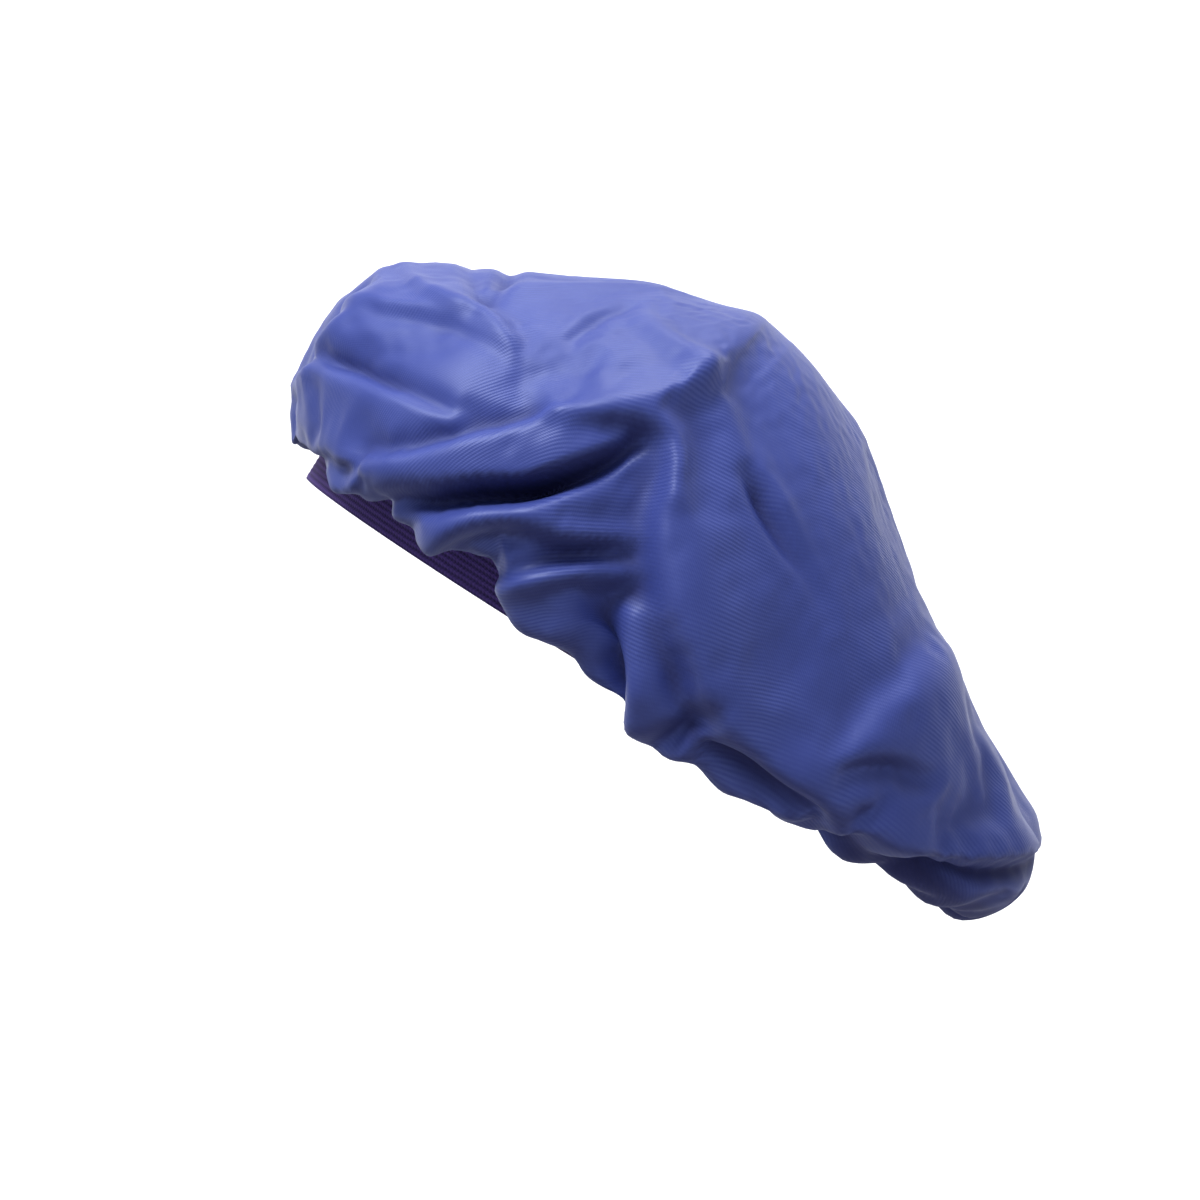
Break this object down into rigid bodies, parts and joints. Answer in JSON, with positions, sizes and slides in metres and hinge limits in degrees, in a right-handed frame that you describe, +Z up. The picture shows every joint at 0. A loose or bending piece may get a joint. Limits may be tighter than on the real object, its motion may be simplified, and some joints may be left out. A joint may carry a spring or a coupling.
{
  "type": "satin hair bonnet",
  "caption": "Loose single-layer satin bonnet gathered onto a wide ribbed elastic band, worn over the hair.",
  "frame": {"origin": "centre of the head opening, in the plane of the elastic band's lower edge, as worn", "axes": "the wearer looks along -X, their ears are at -Y and +Y, +Z is up; the band's plane drops 32 degrees towards the nape"},
  "size_m": [0.2973, 0.2464, 0.2601],
  "materials": {
    "satin": "periwinkle blue satin with a fine twill line, glossy on the right side",
    "knit": "dark purple ribbed knit elastic, matte",
    "rubber": "plain rubber thread",
    "thread": "blue polyester sewing thread",
    "label": "blank off-white woven tape"
  },
  "bodies": {
    "bonnet": {"crown_satin": "satin", "band_inner_knit": "knit", "band_outer_knit": "knit", "rubber_core_01": "rubber", "rubber_core_02": "rubber", "rubber_core_03": "rubber", "rubber_core_04": "rubber", "rubber_core_05": "rubber", "rubber_core_06": "rubber", "rubber_core_07": "rubber", "rubber_core_08": "rubber", "rubber_core_09": "rubber", "rubber_core_10": "rubber", "rubber_core_11": "rubber", "rubber_core_12": "rubber", "rubber_core_13": "rubber", "rubber_core_14": "rubber", "rubber_core_15": "rubber", "rubber_core_16": "rubber", "needle_thread_upper": "thread", "bobbin_thread_upper": "thread", "needle_thread_lower": "thread", "bobbin_thread_lower": "thread", "join_tack_left": "thread", "join_tack_right": "thread", "label_stitch": "thread"},
    "care_label": {"care_label": "label"}
  },
  "joints": [
    {"name": "label_flap", "type": "hinge", "parent": "bonnet", "child": "care_label", "pos_m": [0.10746, 0, -0.03413], "axis": [0, 1, 0], "range_deg": [0, 120]}
  ]
}
